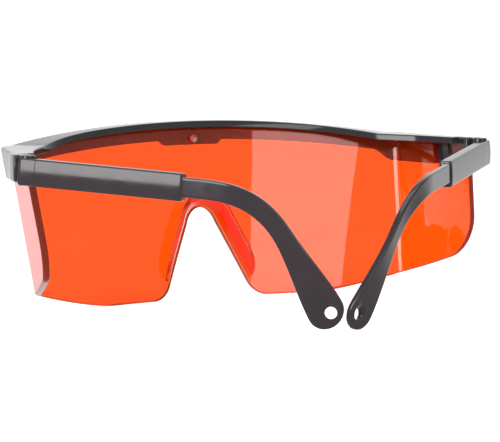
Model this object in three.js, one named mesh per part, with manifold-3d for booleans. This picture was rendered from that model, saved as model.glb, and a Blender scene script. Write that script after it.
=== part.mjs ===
// Single-lens safety glasses with folding, length-adjustable temples.
// Millimetres, +Z up. The front faces -Y, the temples run towards +Y and +X is the wearer's left.
// The glasses stand at z = 0 on the lens's two lower edges, and the temple tips hang just above it.
import * as THREE from 'three';
import { mergeVertices } from 'three/addons/utils/BufferGeometryUtils.js';
import Module from 'manifold-3d';

const wasm = await Module();
wasm.setup();

// ---- Driving dimensions ----
const HALF_WIDTH = 75;            // outer face of the temple hinges
const CAP_Z = 51.0;               // highest point of the brow bar, over the nose
const CAP_ARCH = 4.7;             // fall of the brow bar from the nose to the corners
const END_Z = 45.8;               // top of the brow bar at the hinges
const ORIGIN_SHIFT_Y = -2.4;      // brings the middle of the object's depth to y = 0

// Plan of the lens's middle surface: a wide front arc, a tight corner and a straight side shield
const FRONT_Y = -46.2;
const FRONT_RADIUS = 173.4;
const FRONT_LENGTH = 64.8;        // from the nose to the corner, as if the corner were sharp
const CORNER_RADIUS = 5;
const SIDE_ANGLE = 74.2 * Math.PI / 180;
const SIDE_LENGTH = 29.2;         // from the sharp corner to the rear edge
const REAR_TILT = 0.23;           // how far the lens leans back per millimetre down
const SIDE_TAPER = 0.1;           // how far the shields lean in per millimetre down

// Lens
const LENS_THICKNESS = 2.0;
const NOSE_TOP_Z = 25.9;          // top of the nose cut-out
const NOSE_CROWN_Z = 21.6;        // where its round crown meets the straight sides
const NOSE_CROWN_HALF = 5.0;
const NOSE_CROWN_CURVE = 0.92;    // 1 would make the crown a full ellipse
const NOSE_CROWN_DIP = 0.28;
const NOSE_FLARE = 2.0;           // height lost per millimetre of half width
const NOSE_CORNER_RADIUS = 7;     // rounds the corner where the cut-out meets the lower edge
const LOWER_RISE_START = 36;      // from here outwards the lower edge sweeps up
const LOWER_RISE = 0.0438;
const LOWER_POWER = 1.42;
const SHIELD_CORNER_RADIUS = 9.4;
const BRIDGE_REACH = 13.4;        // half length of the moulded nose bridge
const BRIDGE_DEPTH = 4.2;         // how far it runs rearwards
const BRIDGE_FLARE = 3.4;         // and sideways
const BRIDGE_THICKNESS = 1.5;
const BRIDGE_OVERLAP = 0.4;       // how deep its root sits in the lens
const BRIDGE_INSET = 0.15;
const GAP = 0.3;                  // between parts that touch

// Brow bar
const CAP_WALL = 1.8;
const FLANGE_DROP = 5.8;          // how far the flange in front of the lens hangs down
const TAB_DROP = 1.4;             // and how much lower its middle tab reaches
const TAB_HALF = 10.6;
const TAB_CHAMFER = 2.3;
const END_DROP = 2.75;            // extra depth of the flange towards the hinges
const END_DROP_START = 58;
const END_DROP_LENGTH = 6;
const RIM_DROP = 1.9;
const RIM_SETBACK = 0.3;
const RIM_CORNER_RADIUS = 46;     // the rear rim cuts the corners, so the ledge widens there
const BAR_LENGTH_SPARE = 4;       // the wrapped bar stops this far before the lens's rear edge
const WALL_OVERLAP = 0.4;         // the flange and the rim end this far below the top surface
const BLOCK_LENGTH = 10.5;
const BLOCK_INNER = 3.0;
const BLOCK_CLEARANCE = 2.5;
const STUD_RADIUS = 0.65;
const STUD_HEAD_RADIUS = 1.25;
const STUD_INNER_HEAD = 1.0;
const STUD_OUTER_HEAD = 0.8;
const HEAD_OVERLAP = 0.1;
const STUD_RAISE = 0.35;

// Hinges
const PIN_INSET = 3.0;            // from the outer face of the hinge to the pin
const PIN_Y = -1.15;
const PIN_RADIUS = 0.9;
const PIN_SINK = 0.2;             // the pin's ends lie this far inside the lugs
const KNUCKLE_RADIUS = 2.1;
const KNUCKLE_CLEARANCE = 0.45;
const KNUCKLE_FACE = 2.4;         // the hinge's faces lie this far in front of the pin
const LUG_HEIGHT = 2.0;
const LUG_NECK = 1.5;             // half width of the web behind each lug
const LUG_ROOT = 1.0;

// Temples
const SLEEVE_LENGTH = 47;
const SLEEVE_HEIGHT = 7.3;
const SLEEVE_THICKNESS = 3.8;
const SLEEVE_CHAMFER = 0.7;
const SLEEVE_SINK = 0.5;          // its middle lies this far below the middle of the hinge
const SLEEVE_FRONT = 0.35;
const ARM_THICKNESS = 1.8;
const TIP_THICKNESS = 1.4;
const ARM_HALF = 2.62;            // half height of the arm at the sleeve
const PADDLE_HALF = 5.0;          // and at the tip
const CHANNEL_START = 6.2;        // distances along the temple start at the hinge face
const CHANNEL_CHAMFER = 0.2;
const SHANK_START = 6.7;
const ARM_HOLE_AT = 102.1;
const ARM_HOLE_RAISE = 1.0;       // the hole lies nearer the paddle's upper edge
const ARM_END = 3.8;
const DROP_START = 50.7;          // the arm bends down between these two
const DROP_END = 81.4;
const DROP_ANGLE = 55.7 * Math.PI / 180;
const CURL_START = 54.5;          // and curls inwards from here
const CURL_LENGTH = 27;
const CURL_ANGLE = 40.2 * Math.PI / 180;
const CURL_LIMIT = 1.2;
const TWIST = 32 * Math.PI / 180; // the blade turns less than its centre line does
const PADDLE_START = 76;          // from here the arm widens to its tip
const TIP_ROUNDNESS = 0.02;
const STOP_AT = 2;                // the stop that keeps the arm in the sleeve
const STOP_LENGTH = 3;
const STOP_HALF = 1.1;
const STOP_RAISE = 1.0;
const SLOT_DEPTH = 1.2;
const STOP_CHAMFER = 0.1;
const ARM_STEP = 0.5;
const PITCH = 4.1 * Math.PI / 180;
const CORD_HOLE_RADIUS = 1.65;
const TRAVEL = 9.8;
const FOLD = { left: 41.5, right: 47.3 };
const EXTENDED = { left: 0, right: TRAVEL };

// Surfaces
const BAR_BLACK = 0x1c1b1d;
const TEMPLE_BLACK = 0x1f1e20;
const PIN_BLACK = 0x2b2a2c;
const STUD_GREY = 0x9a9490;
const LENS_ORANGE = 0xff5a1e;

// ---- Helpers ----
function plastic(color, roughness) {
  return new THREE.MeshStandardMaterial({ color, roughness, metalness: 0 });
}

function positionsOnly(geometry) {
  const copy = geometry.index ? geometry.clone() : geometry;
  copy.deleteAttribute('normal');
  copy.deleteAttribute('uv');
  copy.clearGroups();
  return mergeVertices(copy, 1e-4);
}

function signedVolume(geometry) {
  const p = geometry.attributes.position;
  const corner = [new THREE.Vector3(), new THREE.Vector3(), new THREE.Vector3()];
  let sum = 0;
  for (let i = 0; i < geometry.index.count; i += 3) {
    corner.forEach((v, k) => v.fromBufferAttribute(p, geometry.index.getX(i + k)));
    sum += corner[0].dot(corner[1].clone().cross(corner[2])) / 6;
  }
  return sum;
}

function faceOut(geometry) {
  const merged = positionsOnly(geometry);
  if (signedVolume(merged) < 0) {
    const index = merged.index;
    for (let i = 0; i < index.count; i += 3) {
      const second = index.getX(i + 1);
      index.setX(i + 1, index.getX(i + 2));
      index.setX(i + 2, second);
    }
  }
  return merged;
}

function solid(geometry) {
  const g = faceOut(geometry);
  return new wasm.Manifold(new wasm.Mesh({
    numProp: 3,
    vertProperties: new Float32Array(g.attributes.position.array),
    triVerts: new Uint32Array(g.index.array),
  }));
}

function toGeometry(manifold) {
  const mesh = manifold.getMesh();
  const geometry = new THREE.BufferGeometry();
  geometry.setAttribute('position', new THREE.BufferAttribute(mesh.vertProperties, 3));
  geometry.setIndex(new THREE.BufferAttribute(mesh.triVerts, 1));
  geometry.computeVertexNormals();
  return geometry;
}

// A box with a grid of (a, b, c) in 0..1, each vertex moved to place(a, b, c)
function gridBox(na, nb, nc, place) {
  const geometry = new THREE.BoxGeometry(1, 1, 1, na, nb, nc);
  const p = geometry.attributes.position;
  for (let i = 0; i < p.count; i++) {
    const at = place(p.getX(i) + 0.5, p.getY(i) + 0.5, p.getZ(i) + 0.5);
    p.setXYZ(i, at.x, at.y, at.z);
  }
  return solid(geometry);
}

function block(x0, x1, y0, y1, z0, z1) {
  const geometry = new THREE.BoxGeometry(x1 - x0, y1 - y0, z1 - z0);
  geometry.translate((x0 + x1) / 2, (y0 + y1) / 2, (z0 + z1) / 2);
  return solid(geometry);
}

function uprightCylinder(radius, z0, z1, x = 0, y = 0) {
  const geometry = new THREE.CylinderGeometry(radius, radius, z1 - z0, 24);
  geometry.rotateX(Math.PI / 2);
  geometry.translate(x, y, (z0 + z1) / 2);
  return solid(geometry);
}

function joined(parts) {
  return parts.reduce((whole, part) => whole.add(part));
}

const lerp = THREE.MathUtils.lerp;
const smooth = THREE.MathUtils.smoothstep;

// ---- The wrapped surface that the lens and the brow bar share ----
// A plan line from the nose to the hinge: front arc, corner of the given radius, straight side
function planLine(cornerRadius) {
  const sharpAngle = FRONT_LENGTH / FRONT_RADIUS;
  const sideWay = new THREE.Vector2(Math.cos(SIDE_ANGLE), Math.sin(SIDE_ANGLE));
  const inwards = new THREE.Vector2(-sideWay.y, sideWay.x);
  // The corner's centre lies cornerRadius inside both the side line and the front arc
  const sharp = new THREE.Vector2(Math.sin(sharpAngle), -Math.cos(sharpAngle)).multiplyScalar(FRONT_RADIUS);
  const start = sharp.addScaledVector(inwards, cornerRadius);
  const along = start.dot(sideWay);
  const excess = start.lengthSq() - (FRONT_RADIUS - cornerRadius) ** 2;
  const trim = -along - Math.sqrt(along ** 2 - excess);
  const centre = start.clone().addScaledVector(sideWay, trim);
  const frontAngle = Math.atan2(centre.x, -centre.y);
  const front = FRONT_RADIUS * frontAngle;
  const cornerTurn = SIDE_ANGLE - frontAngle;
  const cornerEnd = front + cornerRadius * cornerTurn;
  const total = cornerEnd + SIDE_LENGTH - trim;
  // Position and outward normal at arc length s from the nose
  const at = (s) => {
    const side = Math.sign(s) || 1;
    const d = Math.abs(s);
    const turn = Math.min(d, front) / FRONT_RADIUS;
    const bend = Math.min(Math.max(d - front, 0) / cornerRadius, cornerTurn);
    const angle = turn + bend;
    const straight = Math.max(d - cornerEnd, 0);
    const x = FRONT_RADIUS * Math.sin(turn)
      + cornerRadius * (Math.sin(angle) - Math.sin(turn))
      + straight * Math.cos(angle);
    const y = FRONT_Y + FRONT_RADIUS * (1 - Math.cos(turn))
      + cornerRadius * (Math.cos(turn) - Math.cos(angle))
      + straight * Math.sin(angle);
    return { x: side * x, y, nx: side * Math.sin(angle), ny: -Math.cos(angle) };
  };
  return { front, cornerEnd, total, at };
}

const lensLine = planLine(CORNER_RADIUS);
const rimLine = planLine(RIM_CORNER_RADIUS);
const TOTAL = lensLine.total;
const CORNER_START = lensLine.front;
const CORNER_END = lensLine.cornerEnd;

// A point n outwards from a plan line, at height z, with the lens's lean and taper
function leaning(plan, n, z) {
  const down = CAP_Z - z;
  const x = (plan.x + n * plan.nx) * (1 - SIDE_TAPER * down / HALF_WIDTH);
  const y = plan.y + n * plan.ny + REAR_TILT * down;
  return new THREE.Vector3(x, y, z);
}

function wrap(s, n, z) {
  return leaning(lensLine.at(s), n, z);
}

function rimWrap(s, n, z) {
  return leaning(rimLine.at(s * rimLine.total / TOTAL), n, z);
}

// Height of the brow bar's top surface
function capTop(s) {
  const d = Math.abs(s);
  if (d <= CORNER_START) {
    return CAP_Z - CAP_ARCH * (d / CORNER_START) ** 2;
  }
  const k = (d - CORNER_START) / (TOTAL - CORNER_START);
  return lerp(CAP_Z - CAP_ARCH, END_Z, Math.sin(k * Math.PI / 2));
}

// Lower edge of the lens: nose cut-out, level foot, rising sweep and rounded rear corner
function lensFoot(s) {
  const d = Math.abs(s);
  let foot = LOWER_RISE * Math.max(0, d - LOWER_RISE_START) ** LOWER_POWER;
  const intoCorner = (d - (TOTAL - SHIELD_CORNER_RADIUS)) / SHIELD_CORNER_RADIUS;
  if (intoCorner > 0) {
    foot += SHIELD_CORNER_RADIUS * (1 - Math.sqrt(Math.max(0, 1 - intoCorner ** 2)));
  }
  return Math.max(foot, noseEdge(d));
}

// Edge of the nose cut-out: a round crown, straight flared sides and a soft lower corner
function noseEdge(d) {
  if (d < NOSE_CROWN_HALF) {
    const k = d / NOSE_CROWN_HALF;
    const rise = NOSE_TOP_Z - NOSE_CROWN_Z;
    return NOSE_CROWN_Z + rise * (Math.sqrt(1 - NOSE_CROWN_CURVE * k ** 2) - NOSE_CROWN_DIP * k ** 2);
  }
  const straight = NOSE_CROWN_Z - NOSE_FLARE * (d - NOSE_CROWN_HALF);
  const radius = NOSE_CORNER_RADIUS;
  const flank = Math.atan(NOSE_FLARE);
  const level = NOSE_CROWN_HALF + NOSE_CROWN_Z / NOSE_FLARE + radius * Math.tan(flank / 2);
  const beyond = level - d;
  if (beyond <= 0) {
    return 0;
  }
  return beyond < radius * Math.sin(flank) ? radius - Math.sqrt(radius ** 2 - beyond ** 2) : straight;
}

// Stations along one half of the wrap, closer together where it curves
function halfStations(from, to) {
  const marks = [0, 1.3, 2.6, 3.7, 4.5, NOSE_CROWN_HALF, 7, 9, 11, 12.5, 13.6, 14.7, 15.8, 17.2, 19, 21.5];
  for (let s = 26; s < CORNER_START; s += 7.6) {
    marks.push(s);
  }
  for (let k = 0; k <= 4; k++) {
    marks.push(lerp(CORNER_START, CORNER_END, k / 4));
  }
  for (let s = CORNER_END + 6; s < TOTAL - SHIELD_CORNER_RADIUS; s += 7) {
    marks.push(s);
  }
  for (let k = 0; k <= 5; k++) {
    marks.push(TOTAL - SHIELD_CORNER_RADIUS * (1 - Math.sin(k / 5 * Math.PI / 2)));
  }
  const inside = marks.filter((s) => s > from + 0.2 && s < to - 0.2);
  return [from, ...inside, to];
}

// A wall between two surfaces, each a function of s and z, from height low(s) to high(s)
function wall(stations, outer, inner, low, high) {
  const count = stations.length - 1;
  return gridBox(count, 1, 1, (a, b, c) => {
    const s = stations[Math.round(a * count)];
    const z = lerp(low(s), high(s), c);
    return outer(s, z).lerp(inner(s, z), b);
  });
}

function mirroredStations(half) {
  const sorted = [...half].sort((p, q) => p - q);
  return [...sorted.slice(1).reverse().map((s) => -s), ...sorted];
}

// ---- Lens ----
// The moulded nose bridge: a thin lip that runs around the nose cut-out and flares back and out
function noseBridge() {
  return gridBox(36, 1, 1, (a, b, c) => {
    const s = lerp(-BRIDGE_REACH, BRIDGE_REACH, a);
    const d = Math.abs(s);
    const step = 0.05;
    const slope = (noseEdge(d + step) - noseEdge(d)) / step * (Math.sign(s) || 1);
    const length = Math.hypot(slope, 1);
    const fade = Math.cos(Math.min(1, d / BRIDGE_REACH) ** 6 * Math.PI / 2) * 0.8 + 0.2;
    const out = BRIDGE_INSET + b * BRIDGE_THICKNESS + c * BRIDGE_FLARE * fade;
    const away = new THREE.Vector2(-slope / length * out, out / length);
    return wrap(s + away.x, -BRIDGE_OVERLAP - c * BRIDGE_DEPTH * fade, noseEdge(d) + away.y);
  });
}

function lens() {
  const half = LENS_THICKNESS / 2;
  const blockStart = TOTAL - BLOCK_LENGTH - BLOCK_CLEARANCE;
  const underCap = (s) => {
    const rim = capTop(s) - CAP_WALL - GAP;
    const underBlock = END_Z - SLEEVE_HEIGHT - 2 * GAP;
    return Math.abs(s) > blockStart - 0.01 ? Math.min(rim, underBlock) : rim;
  };
  const smoothStations = halfStations(0, TOTAL).filter((s) => Math.abs(s - blockStart) > 1);
  const stations = mirroredStations([...smoothStations, blockStart - 0.4, blockStart]);
  const front = (s, z) => wrap(s, half, z);
  const back = (s, z) => wrap(s, -half, z);
  const sheet = wall(stations, front, back, lensFoot, underCap);
  const hole = studCylinder(STUD_RADIUS + GAP, -4, 4);
  const whole = sheet.add(noseBridge()).subtract(hole);
  return new THREE.Mesh(toGeometry(whole), plastic(LENS_ORANGE, 0.08));
}

// ---- Snap stud that holds the lens to the brow bar over the nose ----
const STUD_Z = CAP_Z - FLANGE_DROP + STUD_RAISE;

function studCylinder(radius, n0, n1) {
  const geometry = new THREE.CylinderGeometry(radius, radius, n1 - n0, 16);
  geometry.translate(0, -(n0 + n1) / 2, 0);
  geometry.rotateX(Math.atan(REAR_TILT));
  const at = wrap(0, 0, STUD_Z);
  geometry.translate(at.x, at.y, at.z);
  return solid(geometry);
}

function lensStud() {
  const inner = -LENS_THICKNESS / 2 - GAP;
  const outer = LENS_THICKNESS / 2 + GAP + CAP_WALL + GAP;
  const innerEnd = inner - STUD_INNER_HEAD;
  const outerEnd = outer + STUD_OUTER_HEAD;
  const shank = studCylinder(STUD_RADIUS, innerEnd + HEAD_OVERLAP, outerEnd - HEAD_OVERLAP);
  const innerHead = studCylinder(STUD_HEAD_RADIUS, innerEnd, inner);
  const outerHead = studCylinder(STUD_HEAD_RADIUS, outer, outerEnd);
  return new THREE.Mesh(toGeometry(joined([shank, innerHead, outerHead])), plastic(STUD_GREY, 0.35));
}

// ---- Brow bar ----
function flangeFoot(s) {
  const d = Math.abs(s);
  const tab = TAB_DROP * (1 - smooth(d, TAB_HALF - TAB_CHAMFER, TAB_HALF));
  const end = END_DROP * smooth(d, END_DROP_START, END_DROP_START + END_DROP_LENGTH);
  return capTop(s) - FLANGE_DROP - tab - end;
}

function pinPlace(side) {
  return new THREE.Vector3(side * (HALF_WIDTH - PIN_INSET), PIN_Y, 0);
}

// The end of the bar: a block that closes the lens groove, with two lugs around the hinge pin
function hingeEnd(side) {
  const pin = pinPlace(side);
  const low = END_Z - SLEEVE_HEIGHT;
  const face = pin.y - KNUCKLE_FACE;
  const inner = side * (HALF_WIDTH - PIN_INSET - BLOCK_INNER);
  const outer = side * HALF_WIDTH;
  const left = Math.min(inner, outer);
  const right = Math.max(inner, outer);
  const parts = [block(left, right, face - BLOCK_LENGTH, face, low, END_Z)];
  for (const z of [low, END_Z - LUG_HEIGHT]) {
    parts.push(uprightCylinder(KNUCKLE_RADIUS, z, z + LUG_HEIGHT, pin.x, pin.y));
    parts.push(block(pin.x - LUG_NECK, pin.x + LUG_NECK, face - LUG_ROOT, pin.y, z, z + LUG_HEIGHT));
  }
  return joined(parts);
}

function browBar() {
  const half = LENS_THICKNESS / 2;
  const groove = half + GAP;
  const dropMiddle = END_DROP_START + END_DROP_LENGTH / 2;
  const dropEnd = END_DROP_START + END_DROP_LENGTH;
  const marks = [TAB_HALF - TAB_CHAMFER, TAB_HALF, 16, END_DROP_START, dropMiddle, dropEnd];
  const smoothStations = halfStations(0, TOTAL - BAR_LENGTH_SPARE).filter((s) => s < 1 || s > 21);
  const stations = mirroredStations([...smoothStations, ...marks]);
  const outside = (s, z) => wrap(s, groove + CAP_WALL, z);
  const grooveWall = (s, z) => wrap(s, groove, z);
  const rimBack = (s, z) => rimWrap(s, -groove - CAP_WALL, z);
  const rimFront = (s, z) => rimWrap(s, -groove - RIM_SETBACK, z);
  const inTop = (s) => capTop(s) - WALL_OVERLAP;
  const top = wall(stations, outside, rimBack, (s) => capTop(s) - CAP_WALL, capTop);
  const flange = wall(stations, outside, grooveWall, flangeFoot, inTop);
  const rim = wall(stations, rimFront, rimBack, (s) => capTop(s) - RIM_DROP, inTop);
  const hole = studCylinder(STUD_RADIUS + GAP, half, 8);
  const whole = joined([top, flange, rim, hingeEnd(1), hingeEnd(-1)]);
  const pins = [1, -1].map((side) => {
    const pin = pinPlace(side);
    return uprightCylinder(PIN_RADIUS + GAP, END_Z - SLEEVE_HEIGHT - 1, END_Z + 1, pin.x, pin.y);
  });
  const cut = pins.reduce((bar, pin) => bar.subtract(pin), whole.subtract(hole));
  return new THREE.Mesh(toGeometry(cut), plastic(BAR_BLACK, 0.22));
}

// ---- Hinge pins ----
function hingePin(side) {
  const pin = pinPlace(side);
  const low = END_Z - SLEEVE_HEIGHT + PIN_SINK;
  const shank = uprightCylinder(PIN_RADIUS, low, END_Z - PIN_SINK, pin.x, pin.y);
  return new THREE.Mesh(toGeometry(shank), plastic(PIN_BLACK, 0.3));
}

// ---- Temples, built for the wearer's left, open along +Y, with the hinge pin on the Z axis ----
const ARM_X = PIN_INSET - SLEEVE_THICKNESS / 2;
const SLEEVE_Z = END_Z - SLEEVE_HEIGHT / 2 - SLEEVE_SINK;

// A point u along the temple from the hinge face and v above its centre line, in side view
function sidePoint(u, v, x) {
  return new THREE.Vector3(
    x,
    -KNUCKLE_FACE + GAP + u * Math.cos(PITCH) + v * Math.sin(PITCH),
    SLEEVE_Z - u * Math.sin(PITCH) + v * Math.cos(PITCH),
  );
}

function sleeveProfile(halfThickness, halfHeight, chamfer) {
  const shape = new THREE.Shape();
  shape.moveTo(-halfThickness + chamfer, -halfHeight);
  shape.lineTo(halfThickness - chamfer, -halfHeight);
  shape.lineTo(halfThickness, -halfHeight + chamfer);
  shape.lineTo(halfThickness, halfHeight - chamfer);
  shape.lineTo(halfThickness - chamfer, halfHeight);
  shape.lineTo(-halfThickness + chamfer, halfHeight);
  shape.lineTo(-halfThickness, halfHeight - chamfer);
  shape.lineTo(-halfThickness, -halfHeight + chamfer);
  shape.closePath();
  return shape;
}

function alongSleeve(shape, u0, u1) {
  const geometry = new THREE.ExtrudeGeometry(shape, { depth: u1 - u0, bevelEnabled: false });
  const p = geometry.attributes.position;
  for (let i = 0; i < p.count; i++) {
    const at = sidePoint(u0 + p.getZ(i), p.getY(i), ARM_X + p.getX(i));
    p.setXYZ(i, at.x, at.y, at.z);
  }
  return solid(geometry);
}

function sleeve() {
  const body = alongSleeve(
    sleeveProfile(SLEEVE_THICKNESS / 2, SLEEVE_HEIGHT / 2, SLEEVE_CHAMFER),
    SLEEVE_FRONT,
    SLEEVE_LENGTH,
  );
  const channel = alongSleeve(
    sleeveProfile(ARM_THICKNESS / 2 + GAP, ARM_HALF + GAP, CHANNEL_CHAMFER),
    CHANNEL_START,
    SLEEVE_LENGTH + 1,
  );
  const slot = alongSleeve(
    sleeveProfile(SLOT_DEPTH, STOP_HALF + GAP, STOP_CHAMFER),
    SHANK_START + STOP_AT - GAP,
    SHANK_START + STOP_AT + STOP_LENGTH + TRAVEL + GAP,
  ).translate([-SLEEVE_THICKNESS / 2, 0, 0]);
  const low = END_Z - SLEEVE_HEIGHT;
  const lugRoom = [
    uprightCylinder(KNUCKLE_RADIUS + KNUCKLE_CLEARANCE, low - 2, END_Z + 2),
    block(-6, 0, -5, KNUCKLE_RADIUS + KNUCKLE_CLEARANCE, low - 2, END_Z + 2),
  ];
  const tongueLow = low + LUG_HEIGHT + GAP;
  const tongueHigh = END_Z - LUG_HEIGHT - GAP;
  // The knuckle, and two webs that tie it to the sleeve's outer wall and to its end
  const webOuter = PIN_INSET - 0.4;
  const webInner = ARM_X - SLEEVE_THICKNESS / 2;
  const tongue = [
    uprightCylinder(KNUCKLE_RADIUS, tongueLow, tongueHigh),
    block(0, webOuter, -1.6, KNUCKLE_RADIUS + 1.2, tongueLow, tongueHigh),
    block(webInner, webOuter, 0.6, KNUCKLE_RADIUS + 1.4, tongueLow, tongueHigh),
  ];
  const bore = uprightCylinder(PIN_RADIUS + GAP, low - 2, END_Z + 2);
  const hollow = body.subtract(channel).subtract(slot);
  const cleared = lugRoom.reduce((part, room) => part.subtract(room), hollow);
  return toGeometry(joined([cleared, ...tongue]).subtract(bore));
}

// Running totals of the arm's centre line in side view: along, down and slope
function armLine() {
  const side = [{ along: SHANK_START, down: 0, slope: 0 }];
  const last = ARM_HOLE_AT + ARM_END;
  for (let u = SHANK_START; u < last; u += ARM_STEP) {
    const before = side[side.length - 1];
    const slope = -DROP_ANGLE * smooth(u + ARM_STEP / 2, DROP_START, DROP_END);
    side.push({
      along: before.along + ARM_STEP * Math.cos(slope),
      down: before.down + ARM_STEP * Math.sin(slope),
      slope,
    });
  }
  return side;
}

// Plan curl: the arm turns steadily inwards from the sleeve to the tip
function curl(y) {
  const start = CURL_START - KNUCKLE_FACE;
  const turn = (t) => CURL_ANGLE * Math.min(Math.max(t - start, 0) / CURL_LENGTH, CURL_LIMIT);
  const d = Math.max(y - start, 0);
  const steps = 12;
  let x = 0;
  let forward = Math.min(y, start);
  for (let k = 0; k < steps; k++) {
    const angle = turn(start + d * (k + 0.5) / steps);
    x -= Math.sin(angle) * d / steps;
    forward += Math.cos(angle) * d / steps;
  }
  return { x, y: forward, angle: turn(y) };
}

// A point u along the arm, v up its width and w through its thickness
function armPoint(line, u, v, w) {
  const k = Math.min((u - SHANK_START) / ARM_STEP, line.length - 1.001);
  const i = Math.floor(k);
  const along = lerp(line[i].along, line[i + 1].along, k - i);
  const down = lerp(line[i].down, line[i + 1].down, k - i);
  const slope = lerp(line[i].slope, line[i + 1].slope, k - i);
  const centre = sidePoint(along, down, 0);
  const offset = sidePoint(along - v * Math.sin(slope), down + v * Math.cos(slope), 0).sub(centre);
  const bent = curl(centre.y);
  const angle = bent.angle - TWIST * smooth(u, DROP_START, DROP_END);
  return new THREE.Vector3(
    ARM_X + bent.x + w * Math.cos(angle) - offset.y * Math.sin(angle),
    bent.y + w * Math.sin(angle) + offset.y * Math.cos(angle),
    centre.z + offset.z,
  );
}

function armHalfHeight(u) {
  const wide = lerp(ARM_HALF, PADDLE_HALF, smooth(u, PADDLE_START, ARM_HOLE_AT));
  const intoTip = Math.max(0, u - (ARM_HOLE_AT + ARM_END - PADDLE_HALF)) / PADDLE_HALF;
  return wide * Math.sqrt(Math.max(TIP_ROUNDNESS, 1 - intoTip ** 2));
}

function armHalfThickness(u) {
  const fade = smooth(u, ARM_HOLE_AT - 4, ARM_HOLE_AT + ARM_END);
  return lerp(ARM_THICKNESS, TIP_THICKNESS, fade) / 2;
}

function armStations() {
  const marks = [SHANK_START, SLEEVE_LENGTH];
  const last = ARM_HOLE_AT + ARM_END;
  for (let u = SLEEVE_LENGTH + 3; u < last - PADDLE_HALF - 1; u += 2.6) {
    marks.push(u);
  }
  for (let k = 0; k <= 5; k++) {
    marks.push(last - PADDLE_HALF * (1 - Math.sin(k / 5 * Math.PI / 2)));
  }
  return marks;
}

function arm() {
  const line = armLine();
  const stations = armStations();
  const count = stations.length - 1;
  const blade = gridBox(count, 1, 2, (a, b, c) => {
    const u = stations[Math.round(a * count)];
    const v = lerp(-1, 1, c) * armHalfHeight(u);
    return armPoint(line, u, v, lerp(-1, 1, b) * armHalfThickness(u));
  });
  const hole = new THREE.CylinderGeometry(CORD_HOLE_RADIUS, CORD_HOLE_RADIUS, 12, 20);
  hole.rotateZ(Math.PI / 2);
  const centre = armPoint(line, ARM_HOLE_AT, ARM_HOLE_RAISE, 0);
  hole.rotateZ(CURL_ANGLE - TWIST);
  hole.translate(centre.x, centre.y, centre.z);
  const stop = alongSleeve(
    sleeveProfile(STOP_RAISE, STOP_HALF, STOP_CHAMFER),
    SHANK_START + STOP_AT,
    SHANK_START + STOP_AT + STOP_LENGTH,
  ).translate([-ARM_THICKNESS / 2, 0, 0]);
  return toGeometry(blade.subtract(solid(hole)).add(stop));
}

function mirrored(geometry) {
  const copy = positionsOnly(geometry);
  copy.scale(-1, 1, 1);
  const flipped = faceOut(copy);
  flipped.computeVertexNormals();
  return flipped;
}

function temple(name) {
  const side = name === 'left' ? 1 : -1;
  const shape = side > 0 ? (g) => g : mirrored;
  const sleeveMesh = new THREE.Mesh(shape(sleeve()), plastic(TEMPLE_BLACK, 0.2));
  sleeveMesh.name = `temple_sleeve_${name}`;
  const armMesh = new THREE.Mesh(shape(arm()), plastic(TEMPLE_BLACK, 0.25));
  armMesh.name = `temple_arm_${name}`;
  const out = EXTENDED[name];
  armMesh.position.set(0, out * Math.cos(PITCH), -out * Math.sin(PITCH));
  const group = new THREE.Group();
  group.add(sleeveMesh, armMesh);
  group.position.copy(pinPlace(side));
  group.rotation.z = side * THREE.MathUtils.degToRad(FOLD[name]);
  return group;
}

// ---- Assembly ----
const glasses = new THREE.Group();
glasses.name = 'safety_glasses';

function place(name, mesh) {
  mesh.name = name;
  glasses.add(mesh);
}

place('brow_bar', browBar());
place('lens', lens());
place('lens_snap_stud', lensStud());
place('hinge_pin_left', hingePin(1));
place('hinge_pin_right', hingePin(-1));
glasses.add(temple('left'), temple('right'));
glasses.position.y = ORIGIN_SHIFT_Y;

export default glasses;
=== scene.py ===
"""Looks for the safety glasses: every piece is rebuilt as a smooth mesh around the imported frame.

Lengths are millimetres until mesh_object() turns them into metres.
"""

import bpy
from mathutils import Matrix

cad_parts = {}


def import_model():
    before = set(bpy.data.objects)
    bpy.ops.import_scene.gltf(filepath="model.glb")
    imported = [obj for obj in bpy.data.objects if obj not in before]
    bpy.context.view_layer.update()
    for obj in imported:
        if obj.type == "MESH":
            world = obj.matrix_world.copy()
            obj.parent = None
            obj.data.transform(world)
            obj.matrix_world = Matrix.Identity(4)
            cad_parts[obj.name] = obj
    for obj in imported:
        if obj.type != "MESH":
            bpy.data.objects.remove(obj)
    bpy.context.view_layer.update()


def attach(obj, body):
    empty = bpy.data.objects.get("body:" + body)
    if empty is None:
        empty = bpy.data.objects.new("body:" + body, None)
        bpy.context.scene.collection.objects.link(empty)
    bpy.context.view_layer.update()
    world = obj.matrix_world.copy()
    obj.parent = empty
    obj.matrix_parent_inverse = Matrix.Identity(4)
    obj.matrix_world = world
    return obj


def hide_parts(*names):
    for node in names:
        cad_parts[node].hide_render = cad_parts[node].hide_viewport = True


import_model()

import math

import bmesh
import bpy
from mathutils import Matrix, Quaternion, Vector

MM = 0.001

# ---- Dimensions, as in the CAD source ----
HALF_WIDTH = 75.0
CAP_Z = 51.0
CAP_ARCH = 4.7
END_Z = 45.8
SHIFT_Y = -2.4
FRONT_Y = -46.2
FRONT_RADIUS = 173.4
FRONT_LENGTH = 64.8
CORNER_RADIUS = 5.0
RIM_CORNER_RADIUS = 46.0
SIDE_ANGLE = math.radians(74.2)
SIDE_LENGTH = 29.2
REAR_TILT = 0.23
SIDE_TAPER = 0.10
LENS_HALF = 1.0
NOSE_TOP_Z = 25.9
NOSE_CROWN_Z = 21.6
NOSE_CROWN_HALF = 5.0
NOSE_CROWN_CURVE = 0.92
NOSE_CROWN_DIP = 0.28
NOSE_FLARE = 2.0
LOWER_RISE_START = 36.0
LOWER_RISE = 0.0438
LOWER_POWER = 1.42
SHIELD_CORNER_RADIUS = 9.4
NOSE_CORNER_RADIUS = 7.0
BRIDGE_REACH = 13.4
BRIDGE_DEPTH = 4.2
BRIDGE_FLARE = 3.4
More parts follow.
